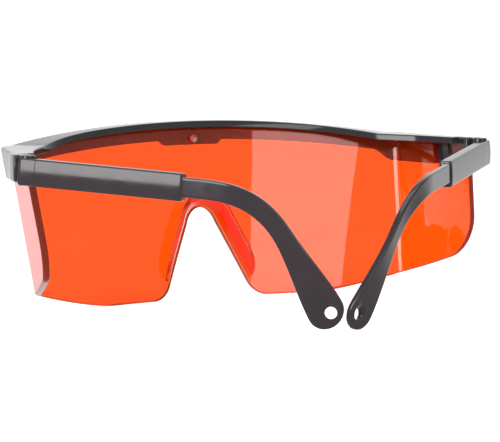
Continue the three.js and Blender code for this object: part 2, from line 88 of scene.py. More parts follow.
BRIDGE_THICKNESS = 1.5
BRIDGE_INSET = 0.15
BRIDGE_OVERLAP = 0.4
GAP = 0.3
CAP_WALL = 1.8
FLANGE_DROP = 5.8
TAB_DROP = 1.4
TAB_HALF = 10.6
TAB_CHAMFER = 2.3
END_DROP = 2.75
END_DROP_START = 58.0
END_DROP_LENGTH = 6
RIM_DROP = 1.9
RIM_SETBACK = 0.3
BAR_LENGTH_SPARE = 4
BLOCK_LENGTH = 10.5
BLOCK_INNER = 3.0
BLOCK_CLEARANCE = 2.5
STUD_RADIUS = 0.65
STUD_HEAD_RADIUS = 1.25
STUD_INNER_HEAD = 1.0
STUD_RAISE = 0.35
PIN_INSET = 3.0
PIN_Y = -1.15
PIN_RADIUS = 0.9
PIN_SINK = 0.2
KNUCKLE_RADIUS = 2.1
KNUCKLE_FACE = 2.4
KNUCKLE_CLEARANCE = 0.45
LUG_HEIGHT = 2.0
LUG_NECK = 1.5
SLEEVE_LENGTH = 47.0
SLEEVE_HEIGHT = 7.3
SLEEVE_THICKNESS = 3.8
SLEEVE_SINK = 0.5
ARM_THICKNESS = 1.8
TIP_THICKNESS = 1.4
ARM_HALF = 2.62
PADDLE_HALF = 5.0
PADDLE_START = 76.0
SHANK_START = 6.7
ARM_HOLE_AT = 102.1
ARM_HOLE_RAISE = 1.0
ARM_END = 3.8
DROP_START = 50.7
DROP_END = 81.4
DROP_ANGLE = math.radians(55.7)
CURL_START = 54.5
CURL_LENGTH = 27.0
CURL_ANGLE = math.radians(40.2)
CURL_LIMIT = 1.2
TWIST = math.radians(32)
PITCH = math.radians(4.1)
CORD_HOLE_RADIUS = 1.65
ARM_STEP = 0.5
FOLD = {"left": math.radians(41.5), "right": math.radians(47.3)}
DRAWN_OUT = {"left": 0.0, "right": 9.8}

# ---- Details that only the visual has ----
UP = Vector((0, 0, 1))
LENS_EDGE = 0.5                 # rounding of the lens's edges
LENS_STEP = 0.4                 # the lens's top steps down within this length
BLOCK_EDGE = 0.8
LUG_EDGE = 0.3
PIN_EDGE = 0.25
NECK_EDGE = 0.25
SLEEVE_EDGE = 0.7               # rounding along the sleeve
SLEEVE_CROWN = 0.12             # share by which the sleeve is thinner at its edges
SLEEVE_ROOM = 0.7               # share of the gap left round the arm in the sleeve
SLEEVE_MOUTH = 0.1              # the sleeve's mouth is this much wider than its channel
SLEEVE_MOUTH_DEPTH = 8          # the sleeve is solid beyond this depth
CHANNEL_EDGE = 0.3
CHEEK_ROOM = 0.15               # between the knuckle and the cheek outside it
ARM_EDGE = 0.5
HOLE_FLARE = 0.35               # the cord hole widens this much at its faces
# The stud's red ring is painted light; this is the half width of its soft edge.
PAINTED_RING_BLUR = 0.12                 # half width of the stud's ring's soft edge

# Rounded end of the sleeve: (distance from its end, how much smaller it is there).
END_ROUNDING = ((0.0, 0.45), (0.13, 0.2), (0.3, 0.06), (0.45, 0.0))

# Plastic colours: the flow marks run from the first to the second.
TEMPLE_COLOURS = (0.024, 0.0185, 0.0215), (0.033, 0.0255, 0.0295)
BAR_COLOURS = (0.018, 0.017, 0.0185), (0.027, 0.0255, 0.028)
PIN_COLOURS = (0.02, 0.02, 0.021), (0.034, 0.033, 0.034)
STUD_COLOURS = (0.2, 0.17, 0.16), (0.34, 0.3, 0.28)
# Painted light: a red ring round the stud's grey inner head stands in for the red light that the
# lens's hole edge shows.
STUD_PAINTED_LENS_LIGHT_COLOUR = (0.4, 0.03, 0.02)
STUD_PAINTED_RING_RADIUS = 0.7
LENS_COLOUR = (1.0, 0.115, 0.005)
LENS_ABSORPTION = (0.97, 0.5, 0.2)
LENS_DENSITY = 360

# The camera was fitted to the photo. Angles from the rear, lengths in millimetres.
CAMERA_AZIMUTH = math.radians(28.91)
CAMERA_ELEVATION = math.radians(5.12)
CAMERA_ROLL = math.radians(-0.25)
CAMERA_TARGET = (28.26, 41.67, 29.45)
CAMERA_DISTANCE = 0.6988        # metres
CAMERA_LENS = 193.36
CAMERA_SENSOR = 36


# ---- Small helpers ----
def lerp(a, b, k):
    """From a at k = 0 to b at k = 1."""
    return a + (b - a) * k


def smooth(x, low, high):
    """Rises smoothly from 0 at low to 1 at high."""
    k = min(max((x - low) / (high - low), 0.0), 1.0)
    return k * k * (3 - 2 * k)


def spread(low, high, step):
    """Evenly spaced values from low to high, about step apart."""
    count = max(1, round((high - low) / step))
    return [lerp(low, high, k / count) for k in range(count + 1)]


def rounded_loop(corners, radii, subs, segments=4):
    """The points round a closed polygon with rounded corners, and extra points along its sides."""
    points = []
    count = len(corners)
    for k, corner in enumerate(corners):
        before, after = corners[k - 1], corners[(k + 1) % count]
        to_before, to_after = before - corner, after - corner
        start = corner + to_before * min(0.5, radii[k] / max(to_before.length, 1e-6))
        end = corner + to_after * min(0.5, radii[k] / max(to_after.length, 1e-6))
        for i in range(segments + 1):
            t = i / segments
            points.append(start * (1 - t) ** 2 + corner * (2 * t * (1 - t)) + end * t ** 2)
        following = (k + 1) % count
        back = corners[following] - corner
        next_start = corners[following] - back * min(0.5, radii[following] / max(back.length, 1e-6))
        for t in subs[k]:
            points.append(end.lerp(next_start, t))
    return points


def mesh_object(name, mesh):
    """Takes a bmesh in millimetres and makes the object in metres, at the origin."""
    bmesh.ops.recalc_face_normals(mesh, faces=mesh.faces)
    bmesh.ops.scale(mesh, vec=(MM, MM, MM), verts=mesh.verts)
    data = bpy.data.meshes.new(name)
    mesh.to_mesh(data)
    mesh.free()
    made = bpy.data.objects.new(name, data)
    bpy.context.scene.collection.objects.link(made)
    return made


def loft(loops):
    """A closed bmesh through loops that all have the same number of points."""
    mesh = bmesh.new()
    rows = [[mesh.verts.new(p) for p in loop] for loop in loops]
    count = len(rows[0])
    for a, b in zip(rows, rows[1:]):
        for k in range(count):
            j = (k + 1) % count
            mesh.faces.new((a[k], a[j], b[j], b[k]))
    mesh.faces.new(rows[0][::-1])
    mesh.faces.new(rows[-1])
    return mesh


def rounded_box(low, high, radius, segments=3):
    """A box between two opposite corners, with bevelled edges."""
    mesh = bmesh.new()
    bmesh.ops.create_cube(mesh, size=1)
    low, high = Vector(low), Vector(high)
    for vert in mesh.verts:
        vert.co = Vector([lerp(low[k], high[k], vert.co[k] + 0.5) for k in range(3)])
    bmesh.ops.bevel(
        mesh, geom=mesh.edges[:], offset=radius, segments=segments, profile=0.5, affect="EDGES"
    )
    return mesh


def lathe(profile, axis, origin, sides=40):
    """A closed turned body: profile is (distance along axis, radius) pairs."""
    axis = axis.normalized()
    across = axis.orthogonal().normalized()
    other = axis.cross(across)
    loops = []
    for along, radius in profile:
        ring = []
        for k in range(sides):
            a = 2 * math.pi * k / sides
            ring.append(origin + axis * along + (across * math.cos(a) + other * math.sin(a)) * radius)
        loops.append(ring)
    return loft(loops)


def pill(radius, low, high, edge):
    """Profile of a cylinder with rounded edges."""
    arc = [(1 - math.cos(math.radians(t)), math.sin(math.radians(t))) for t in (0, 30, 60, 90)]
    start = [(low + edge * a, radius - edge + edge * b) for a, b in arc]
    end = [(high - edge * a, radius - edge + edge * b) for a, b in reversed(arc)]
    return start + end


def merged(*meshes):
    """Several bmeshes as one, without joining their surfaces."""
    whole = bmesh.new()
    for mesh in meshes:
        data = bpy.data.meshes.new("part")
        bmesh.ops.recalc_face_normals(mesh, faces=mesh.faces)
        mesh.to_mesh(data)
        mesh.free()
        whole.from_mesh(data)
        bpy.data.meshes.remove(data)
    return whole


def add_to(made, mesh):
    """Adds a bmesh in millimetres to an object's mesh."""
    bmesh.ops.scale(mesh, vec=(MM, MM, MM), verts=mesh.verts)
    mesh.from_mesh(made.data)
    mesh.to_mesh(made.data)
    mesh.free()


def boolean(target, tool, operation):
    """Applies an exact boolean with another object, which is then deleted."""
    modifier = target.modifiers.new("boolean", "BOOLEAN")
    modifier.operation = operation
    modifier.solver = "EXACT"
    modifier.object = tool
    depsgraph = bpy.context.evaluated_depsgraph_get()
    result = bpy.data.meshes.new_from_object(target.evaluated_get(depsgraph))
    target.modifiers.clear()
    old = target.data
    target.data = result
    bpy.data.meshes.remove(old)
    bpy.data.objects.remove(tool)


def finished(made, material, body, nodes, crease=40):
    """Gives a piece its material and shading, and ties it to its body and CAD nodes."""
    made.data.materials.clear()
    made.data.materials.append(material)
    for polygon in made.data.polygons:
        polygon.use_smooth = True
    made.data.set_sharp_from_angle(angle=math.radians(crease))
    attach(made, body)
    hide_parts(*nodes)
    return made


# ---- The wrapped surface that the lens and the brow bar share ----
class PlanLine:
    """From the nose to the hinge: front arc, corner of the given radius, straight side."""

    def __init__(self, corner_radius):
        sharp_angle = FRONT_LENGTH / FRONT_RADIUS
        side_way = Vector((math.cos(SIDE_ANGLE), math.sin(SIDE_ANGLE)))
        inwards = Vector((-side_way.y, side_way.x))
        sharp = Vector((math.sin(sharp_angle), -math.cos(sharp_angle))) * FRONT_RADIUS
        start = sharp + inwards * corner_radius
        along = start.dot(side_way)
        excess = start.length_squared - (FRONT_RADIUS - corner_radius) ** 2
        trim = -along - math.sqrt(along ** 2 - excess)
        centre = start + side_way * trim
        self.radius = corner_radius
        front_angle = math.atan2(centre.x, -centre.y)
        self.front = FRONT_RADIUS * front_angle
        self.turn = SIDE_ANGLE - front_angle
        self.corner_end = self.front + corner_radius * self.turn
        self.total = self.corner_end + SIDE_LENGTH - trim

    def at(self, s):
        side = -1 if s < 0 else 1
        d = abs(s)
        turn = min(d, self.front) / FRONT_RADIUS
        bend = min(max(d - self.front, 0) / self.radius, self.turn)
        angle = turn + bend
        straight = max(d - self.corner_end, 0)
        x = (FRONT_RADIUS * math.sin(turn) + self.radius * (math.sin(angle) - math.sin(turn))
             + straight * math.cos(angle))
        y = (FRONT_Y + FRONT_RADIUS * (1 - math.cos(turn))
             + self.radius * (math.cos(turn) - math.cos(angle)) + straight * math.sin(angle))
        return side * x, y, side * math.sin(angle), -math.cos(angle)


LENS_LINE = PlanLine(CORNER_RADIUS)
RIM_LINE = PlanLine(RIM_CORNER_RADIUS)
TOTAL = LENS_LINE.total


def leaning(plan, n, z):
    """The point n outwards of a plan point, leaning back and tapering in on its way down to z."""
    x, y, nx, ny = plan
    down = CAP_Z - z
    return Vector((
        (x + n * nx) * (1 - SIDE_TAPER * down / HALF_WIDTH),
        y + n * ny + REAR_TILT * down + SHIFT_Y,
        z,
    ))


def wrap(s, n, z):
    """A point on the lens's surface: s along it from the nose, n outwards, z up."""
    return leaning(LENS_LINE.at(s), n, z)


def rim_wrap(s, n, z):
    """The same for the bar's rear rim, which cuts the corners."""
    return leaning(RIM_LINE.at(s * RIM_LINE.total / TOTAL), n, z)


def cap_top(s):
    """Height of the brow bar's top."""
    d = abs(s)
    front = LENS_LINE.front
    if d <= front:
        return CAP_Z - CAP_ARCH * (d / front) ** 2
    k = (d - front) / (TOTAL - front)
    return lerp(CAP_Z - CAP_ARCH, END_Z, math.sin(k * math.pi / 2))


def nose_edge(d):
    """Height of the nose cut-out's edge: round crown, straight flank, rounded lower corner."""
    rise = NOSE_TOP_Z - NOSE_CROWN_Z
    if d < NOSE_CROWN_HALF:
        k = d / NOSE_CROWN_HALF
        crown = rise * math.sqrt(1 - NOSE_CROWN_CURVE * k * k)
        return NOSE_CROWN_Z + crown - NOSE_CROWN_DIP * rise * k * k
    radius, flank = NOSE_CORNER_RADIUS, math.atan(NOSE_FLARE)
    level = NOSE_CROWN_HALF + NOSE_CROWN_Z / NOSE_FLARE + radius * math.tan(flank / 2)
    beyond = level - d
    if beyond <= 0:
        return 0.0
    if beyond < radius * math.sin(flank):
        return radius - math.sqrt(radius ** 2 - beyond ** 2)
    return NOSE_CROWN_Z - NOSE_FLARE * (d - NOSE_CROWN_HALF)


def lens_foot(s):
    """Height of the lens's lower edge."""
    d = abs(s)
    foot = LOWER_RISE * max(0.0, d - LOWER_RISE_START) ** LOWER_POWER
    into = (d - (TOTAL - SHIELD_CORNER_RADIUS)) / SHIELD_CORNER_RADIUS
    if into > 0:
        foot += SHIELD_CORNER_RADIUS * (1 - math.sqrt(max(0.0, 1 - into * into)))
    return max(foot, nose_edge(d))


def both_sides(half):
    """Sorted stations for both halves, from those of one."""
    values = sorted(set(round(s, 4) for s in half))
    return [-s for s in reversed(values) if s > 0] + values


# ---- Lens ----
def lens_piece(material):
    """The lens with its side shields and nose bridge."""
    block_start = TOTAL - BLOCK_LENGTH - BLOCK_CLEARANCE

    def top(s):
        rim = cap_top(s) - CAP_WALL - GAP
        under_block = END_Z - SLEEVE_HEIGHT - 2 * GAP
        return lerp(rim, min(rim, under_block), smooth(abs(s), block_start - LENS_STEP, block_start))

    half = spread(0, 24, 0.4) + spread(24, LENS_LINE.front - 0.5, 1.2)
    half += spread(LENS_LINE.front - 0.5, LENS_LINE.corner_end + 0.5, 0.35)
    half += spread(LENS_LINE.corner_end + 0.5, TOTAL - SHIELD_CORNER_RADIUS, 1.0)
    half += [TOTAL - SHIELD_CORNER_RADIUS * (1 - math.sin(k / 20 * math.pi / 2)) for k in range(21)]
    half += [block_start - LENS_STEP, block_start - LENS_STEP / 2, block_start]
    rows = (0.01, 0.04, 0.2, 0.4, 0.6, 0.8, 0.96, 0.99)
    loops = []
    for s in both_sides(half):
        low, high = lens_foot(s), top(s)
        corners = [wrap(s, LENS_HALF, low), wrap(s, LENS_HALF, high),
                   wrap(s, -LENS_HALF, high), wrap(s, -LENS_HALF, low)]
        loops.append(rounded_loop(corners, [LENS_EDGE] * 4, [rows, (), rows, ()]))
    made = mesh_object("lens_shield", loft(loops))
    boolean(made, mesh_object("bridge", nose_bridge()), "UNION")
    hole = stud_turned(pill(STUD_RADIUS + GAP, -4, 4, 0.1))
    boolean(made, mesh_object("hole", hole), "DIFFERENCE")
    return finished(made, material, "front", ["lens"], crease=50)


def nose_bridge():
    """The moulded lip that runs round the nose cut-out and flares back and out."""
    loops = []
    for s in spread(-BRIDGE_REACH, BRIDGE_REACH, 0.35):
        step = 0.05
        side = -1 if s < 0 else 1
        slope = (nose_edge(abs(s) + step) - nose_edge(abs(s))) / step * side
        length = math.hypot(slope, 1)
        fade = math.cos(min(1, abs(s) / BRIDGE_REACH) ** 6 * math.pi / 2) * 0.8 + 0.2
        corners = []
        for b, c in ((0, 0), (1, 0), (1, 1), (0, 1)):
            out = BRIDGE_INSET + b * BRIDGE_THICKNESS + c * BRIDGE_FLARE * fade
            corners.append(wrap(s - slope / length * out, -BRIDGE_OVERLAP - c * BRIDGE_DEPTH * fade,
                                nose_edge(abs(s)) + out / length))
        loops.append(rounded_loop(corners, [0.2, 0.3, 0.5, 0.5], [(), (0.3, 0.7), (), (0.3, 0.7)]))
    return loft(loops)


# ---- Snap stud over the nose ----
STUD_Z = CAP_Z - FLANGE_DROP + STUD_RAISE


def stud_turned(profile):
    """A turned body on the stud's axis, square to the leaning lens."""
    tilt = math.atan(REAR_TILT)
    outwards = Vector((0, -math.cos(tilt), -math.sin(tilt)))
    return lathe(profile, outwards, wrap(0, 0, STUD_Z))


def stud_piece(material):
    """The snap stud: inner head, shank and outer head."""
    inner = -LENS_HALF - GAP
    outer = LENS_HALF + GAP + CAP_WALL + GAP
    r = STUD_HEAD_RADIUS
    inner_head = stud_turned(
        [(inner - 0.8, 0.25), (inner - 0.82, 0.4),
         (inner - STUD_INNER_HEAD, 0.5), (inner - STUD_INNER_HEAD, 0.8),
         (inner - 0.86, 1.05), (inner - 0.6, r - 0.05), (inner - 0.4, r),
         (inner - 0.05, r), (inner, r - 0.08)])
    shank = stud_turned(pill(STUD_RADIUS, inner - 0.4, outer + 0.4, 0.1))
    outer_head = stud_turned(
        [(outer, r - 0.08), (outer + 0.05, r), (outer + 0.3, r), (outer + 0.6, r - 0.25),
         (outer + 0.78, 0.6), (outer + 0.8, 0.3)])
    made = mesh_object("snap_stud", merged(inner_head, shank, outer_head))
    return finished(made, material, "front", ["lens_snap_stud"])


# ---- Brow bar ----
def flange_foot(s):
    """Height of the flange's lower edge: a tab in the middle, deeper towards the hinges."""
    d = abs(s)
    tab = TAB_DROP * (1 - smooth(d, TAB_HALF - TAB_CHAMFER, TAB_HALF))
    end = END_DROP * smooth(d, END_DROP_START, END_DROP_START + END_DROP_LENGTH)
    return cap_top(s) - FLANGE_DROP - tab - end


def pin_place(side):
    """Where the hinge pin stands, side 1 for the wearer's left and -1 for the right."""
    return Vector((side * (HALF_WIDTH - PIN_INSET), PIN_Y + SHIFT_Y, 0))


def bar_piece(material):
    """The brow bar: flange, ledge and rear rim in one shell, and the two hinge ends."""
    groove = LENS_HALF + GAP
    outer = groove + CAP_WALL
    half = spread(0, TAB_HALF - 2.5, 1.0) + spread(TAB_HALF - 2.5, TAB_HALF + 0.2, 0.25)
    half += spread(TAB_HALF + 0.5, END_DROP_START, 1.2)
    half += spread(END_DROP_START, TOTAL - BAR_LENGTH_SPARE, 0.7)
    loops = []
    for s in both_sides(half):
        top, foot = cap_top(s), flange_foot(s)
        corners = [
            wrap(s, outer, foot), wrap(s, outer, top),
            rim_wrap(s, -outer, top), rim_wrap(s, -outer, top - RIM_DROP),
            rim_wrap(s, -groove - RIM_SETBACK, top - RIM_DROP),
            rim_wrap(s, -groove - RIM_SETBACK, top - CAP_WALL),
            wrap(s, groove, top - CAP_WALL), wrap(s, groove, foot),
        ]
        radii = [0.4, 0.9, 0.45, 0.3, 0.03, 0.03, 0.05, 0.35]
        subs = [(0.5,), (0.1, 0.5, 0.9), (), (), (), (), (0.5,), ()]
        loops.append(rounded_loop(corners, radii, subs))
    made = mesh_object("brow_bar_shell", loft(loops))
    tool = stud_turned(pill(STUD_RADIUS + GAP, LENS_HALF, 6, 0.1))
    boolean(made, mesh_object("hole", tool), "DIFFERENCE")
    add_to(made, merged(*[part for side in (1, -1) for part in hinge_end(side)]))
    return finished(made, material, "front", ["brow_bar"])


def hinge_end(side):
    """The end block, and the two lugs that hold the hinge pin."""
    pin = pin_place(side)
    low = END_Z - SLEEVE_HEIGHT
    face = pin.y - KNUCKLE_FACE
    across = sorted((side * (HALF_WIDTH - PIN_INSET - BLOCK_INNER), side * HALF_WIDTH))
    body = rounded_box((across[0], face - BLOCK_LENGTH, low), (across[1], face, END_Z), BLOCK_EDGE, 4)
    # The outer face narrows towards the front along the lens's side, inside the CAD's block.
    for vert in body.verts:
        outwards = (side * vert.co.x - abs(pin.x) + BLOCK_INNER) / (PIN_INSET + BLOCK_INNER)
        vert.co.x -= side * outwards * (face - vert.co.y) / math.tan(SIDE_ANGLE)
    parts = [body]
    for z in (low, END_Z - LUG_HEIGHT):
        parts.append(lathe(pill(KNUCKLE_RADIUS, z, z + LUG_HEIGHT, LUG_EDGE), UP, pin))
        parts.append(rounded_box((pin.x - LUG_NECK, face - 1.4, z),
                                 (pin.x + LUG_NECK, pin.y, z + LUG_HEIGHT), LUG_EDGE))
    return parts


def pin_piece(name, side, material):
    """A plain pin in solid lugs and a solid knuckle: it shows only in the gaps between them."""
    pin = pin_place(side)
    low, high = END_Z - SLEEVE_HEIGHT + PIN_SINK, END_Z - PIN_SINK
    shank = lathe(pill(PIN_RADIUS, low, high, PIN_EDGE), UP, pin)
    made = mesh_object(f"hinge_pin_{name}_turned", shank)
    return finished(made, material, "front", [f"hinge_pin_{name}"])


# ---- Temples: local frame of the wearer's left, open along +Y, the hinge pin on the Z axis ----
ARM_X = PIN_INSET - SLEEVE_THICKNESS / 2
SLEEVE_Z = END_Z - SLEEVE_HEIGHT / 2 - SLEEVE_SINK


def side_point(u, v, x):
    """A point of a temple: u along the pitched sleeve, v up from its middle, x outwards."""
    return Vector((
        x,
        -KNUCKLE_FACE + GAP + u * math.cos(PITCH) + v * math.sin(PITCH),
        SLEEVE_Z - u * math.sin(PITCH) + v * math.cos(PITCH),
    ))


def folded(name):
    """Matrix from a temple's local frame to its rest place; the right one is mirrored."""
    side = 1 if name == "left" else -1
    turn = Matrix.Rotation(FOLD[name], 4, "Z")
    place = Matrix.Translation((HALF_WIDTH - PIN_INSET, PIN_Y + SHIFT_Y, 0))
    return Matrix.Diagonal((side, 1, 1, 1)) @ place @ turn


def sleeve_loop(u, half_t, half_h, radius, crown):
    """One section of the sleeve: a rounded rectangle whose side faces are slightly crowned."""
    flat = [Vector((half_t, -half_h, 0)), Vector((half_t, half_h, 0)),
            Vector((-half_t, half_h, 0)), Vector((-half_t, -half_h, 0))]
    rows = (0.1, 0.25, 0.4, 0.5, 0.6, 0.75, 0.9)
    points = rounded_loop(flat, [radius] * 4, [rows, (0.2, 0.8), rows, (0.2, 0.8)])
    return [
        side_point(u, p.y, ARM_X + p.x * (1 - crown * (p.y / half_h) ** 2)) for p in points
    ]


def sleeve_piece(name, material):
    """The sleeve, and the knuckle and neck of its hinge.

    It is hollow only at its mouth. Further in, the arm runs out of sight inside solid material.
    """
    t = SLEEVE_THICKNESS / 2
    h = SLEEVE_HEIGHT / 2
    inner_t = ARM_THICKNESS / 2 + GAP * SLEEVE_ROOM
    inner_h = ARM_HALF + GAP * SLEEVE_ROOM

    def outside(u, less):
        return sleeve_loop(u, t - less, h - less, SLEEVE_EDGE, SLEEVE_CROWN)

    start = KNUCKLE_RADIUS + KNUCKLE_CLEARANCE + KNUCKLE_FACE - GAP
    loops = [outside(start + along, less) for along, less in END_ROUNDING]
    loops += [outside(u, 0) for u in spread(start + 1, SLEEVE_LENGTH - 1, 2.5)]
    for along, less in reversed(END_ROUNDING):
        loops.append(outside(SLEEVE_LENGTH - along * 0.7, less * 0.7))
    for along, less in END_ROUNDING:
        mouth_t = inner_t + SLEEVE_MOUTH - less * 0.2
        mouth_h = inner_h + SLEEVE_MOUTH - less * 0.2
        loops.append(sleeve_loop(SLEEVE_LENGTH - along * 0.5, mouth_t, mouth_h, CHANNEL_EDGE, 0))
    loops.append(
        sleeve_loop(SLEEVE_LENGTH - SLEEVE_MOUTH_DEPTH, inner_t, inner_h, CHANNEL_EDGE, 0))

    low = END_Z - SLEEVE_HEIGHT + LUG_HEIGHT + GAP
    high = END_Z - LUG_HEIGHT - GAP
    knuckle = lathe(pill(KNUCKLE_RADIUS, low, high, LUG_EDGE), UP, Vector((0, 0, 0)))
    # The cheek overlaps the sleeve's front end, which shows as a fine line across it.
    cheek = []
    for u, less in ((0.35, 0.35), (0.5, 0.12), (0.8, 0), (1.5, 0), (3.0, 0), (start + 0.6, 0)):
        loop = outside(u, less)
        cheek.append([Vector((max(p.x, KNUCKLE_RADIUS + CHEEK_ROOM), p.y, p.z)) for p in loop])
    neck = rounded_box(
        (ARM_X - t + 0.2, 0.7, low),
        (PIN_INSET - 0.25, start - KNUCKLE_FACE + GAP + 0.4, high), NECK_EDGE)
    whole = merged(loft(loops), knuckle, neck, loft(cheek))
    whole.transform(folded(name))
    made = mesh_object(f"temple_sleeve_{name}_moulded", whole)
    made.visible_glossy = False  # keeps the lens's mirrored light band unbroken, as in the photo
    return finished(made, material, f"sleeve_{name}", [f"temple_sleeve_{name}"])


def arm_line():
    """Running totals of the arm's centre line: along, down and slope in side view."""
    line = [(SHANK_START, 0.0, 0.0)]
    u = SHANK_START
    while u < ARM_HOLE_AT + ARM_END:
        along, down, _ = line[-1]
        slope = -DROP_ANGLE * smooth(u + ARM_STEP / 2, DROP_START, DROP_END)
        line.append((along + ARM_STEP * math.cos(slope), down + ARM_STEP * math.sin(slope), slope))
        u += ARM_STEP
    return line


def curl(y):
    """Where the inwards curl takes a point y along the temple: x, y and the angle there."""
    start = CURL_START - KNUCKLE_FACE
    d = max(y - start, 0.0)
    steps = 24
    x, along = 0.0, min(y, start)
    for k in range(steps):
        angle = CURL_ANGLE * min(d * (k + 0.5) / steps / CURL_LENGTH, CURL_LIMIT)
        x -= math.sin(angle) * d / steps
        along += math.cos(angle) * d / steps
    return x, along, CURL_ANGLE * min(d / CURL_LENGTH, CURL_LIMIT)


def arm_frame(line, u):
    """Centre, width direction and thickness direction of the arm at u."""
    k = min((u - SHANK_START) / ARM_STEP, len(line) - 1.001)
    i = int(k)
    along, down, slope = (lerp(a, b, k - i) for a, b in zip(line[i], line[i + 1]))
    centre = side_point(along, down, 0)
    offset = side_point(along - math.sin(slope), down + math.cos(slope), 0) - centre
    x, y, bend = curl(centre.y)
    angle = bend - TWIST * smooth(u, DROP_START, DROP_END)
    width = Vector((-offset.y * math.sin(angle), offset.y * math.cos(angle), offset.z))
    return Vector((ARM_X + x, y, centre.z)), width, Vector((math.cos(angle), math.sin(angle), 0))


def drawn_out_and_folded(mesh, name):
    """Takes an arm from its local frame to its rest place."""
    out = DRAWN_OUT[name]
    mesh.transform(Matrix.Translation((0, out * math.cos(PITCH), -out * math.sin(PITCH))))
    mesh.transform(folded(name))


def arm_piece(name, material):
    """The arm: shank in the sleeve, drop, curl and a paddle with the cord hole."""
    line = arm_line()
    last = ARM_HOLE_AT + ARM_END
    stations = spread(SHANK_START, last - PADDLE_HALF, 0.9)
    stations += [last - PADDLE_HALF * (1 - math.sin(k / 14 * math.pi / 2)) for k in range(1, 15)]
    rows = (0.06, 0.3, 0.5, 0.7, 0.94)
    loops = []
    for u in stations:
        wide = lerp(ARM_HALF, PADDLE_HALF, smooth(u, PADDLE_START, ARM_HOLE_AT))
        into = max(0.0, u - (last - PADDLE_HALF)) / PADDLE_HALF
        wide *= math.sqrt(max(0.004, 1 - into ** 2))
        thick = lerp(ARM_THICKNESS, TIP_THICKNESS, smooth(u, ARM_HOLE_AT - 4, last)) / 2
        thick *= math.sqrt(max(0.3, 1 - max(0.0, into - 0.75) ** 2 * 12))
        centre, up, out = arm_frame(line, u)
        corners = [centre + up * (wide * a) + out * (thick * b)
                   for a, b in ((-1, 1), (1, 1), (1, -1), (-1, -1))]
        loops.append(rounded_loop(corners, [ARM_EDGE] * 4, [rows, (), rows, ()]))
    body = loft(loops)
    drawn_out_and_folded(body, name)
    made = mesh_object(f"temple_arm_{name}_moulded", body)
    centre, up, out = arm_frame(line, ARM_HOLE_AT)
    centre = centre + up * ARM_HOLE_RAISE
    r = CORD_HOLE_RADIUS
    t = TIP_THICKNESS / 2
    profile = [(-3, r + 2), (-t, r + HOLE_FLARE), (-t + 0.3, r),
               (t - 0.3, r), (t, r + HOLE_FLARE), (3, r + 2)]
    cutter = lathe(profile, out, centre)
    drawn_out_and_folded(cutter, name)
    boolean(made, mesh_object("hole", cutter), "DIFFERENCE")
    made.visible_glossy = False  # for the same reason as the sleeves
    return finished(made, material, f"arm_{name}", [f"temple_arm_{name}"])


# ---- Materials ----
def new_material(name):
    """A node material, its nodes and links, and its Principled shader."""
    material = bpy.data.materials.new(name)
    material.use_nodes = True
    nodes, links = material.node_tree.nodes, material.node_tree.links
    return material, nodes, links, nodes["Principled BSDF"]


def noise(nodes, links, scale, detail=4.0):
    """Noise in the piece's own coordinates."""
    place = nodes.new("ShaderNodeTexCoord")
    texture = nodes.new("ShaderNodeTexNoise")
    texture.inputs["Scale"].default_value = scale
    texture.inputs["Detail"].default_value = detail
    links.new(place.outputs["Object"], texture.inputs["Vector"])
    return texture


def ramp(nodes, links, factor, low, high):
    """Maps the middle of a noise's range to low..high."""
    made = nodes.new("ShaderNodeMapRange")
    made.inputs["From Min"].default_value = 0.3
    made.inputs["From Max"].default_value = 0.7
    made.inputs["To Min"].default_value = low
    made.inputs["To Max"].default_value = high
    links.new(factor, made.inputs["Value"])
    return made.outputs["Result"]


def moulded_plastic(name, tones, rough, bump, rim=None):
    """Injection moulded plastic: faint flow marks in the colour, uneven gloss, fine grain.

    A rim is (centre in mm, radius in mm, colour): the colour painted outside that radius. It is
    painted light: on the stud it stands in for the red light that the lens's hole edge shows.
    """
    material, nodes, links, shader = new_material(name)
    flow = noise(nodes, links, 120)
    colours = nodes.new("ShaderNodeMix")
    colours.data_type = "RGBA"
    colours.inputs["A"].default_value = (*tones[0], 1)
    colours.inputs["B"].default_value = (*tones[1], 1)
    links.new(flow.outputs["Fac"], colours.inputs["Factor"])
    colour = colours.outputs["Result"]
    # Painted light: outside the radius the colour turns to the rim colour, a painted ring that stands
    # in for light from the lens.
    if rim:
        centre, radius, outside = rim
        place = nodes.new("ShaderNodeTexCoord")
        away = nodes.new("ShaderNodeVectorMath")
        away.operation = "DISTANCE"
        away.inputs[1].default_value = centre * MM
        links.new(place.outputs["Object"], away.inputs[0])
        ring = nodes.new("ShaderNodeMapRange")
        ring.inputs["From Min"].default_value = (radius - PAINTED_RING_BLUR) * MM
        ring.inputs["From Max"].default_value = (radius + PAINTED_RING_BLUR) * MM
        links.new(away.outputs["Value"], ring.inputs["Value"])
        painted_ring_mix = nodes.new("ShaderNodeMix")
        painted_ring_mix.data_type = "RGBA"
        painted_ring_mix.inputs["B"].default_value = (*outside, 1)
        links.new(ring.outputs["Result"], painted_ring_mix.inputs["Factor"])
        links.new(colour, painted_ring_mix.inputs["A"])
        colour = painted_ring_mix.outputs["Result"]
    links.new(colour, shader.inputs["Base Color"])
    smudge = noise(nodes, links, 260, 6)
    links.new(ramp(nodes, links, smudge.outputs["Fac"], *rough), shader.inputs["Roughness"])
    grain = noise(nodes, links, 2600, 2)
    relief = nodes.new("ShaderNodeBump")
    relief.inputs["Strength"].default_value = bump
    relief.inputs["Distance"].default_value = 0.00005
    links.new(grain.outputs["Fac"], relief.inputs["Height"])
    links.new(relief.outputs["Normal"], shader.inputs["Normal"])
    shader.inputs["IOR"].default_value = 1.52
    return material


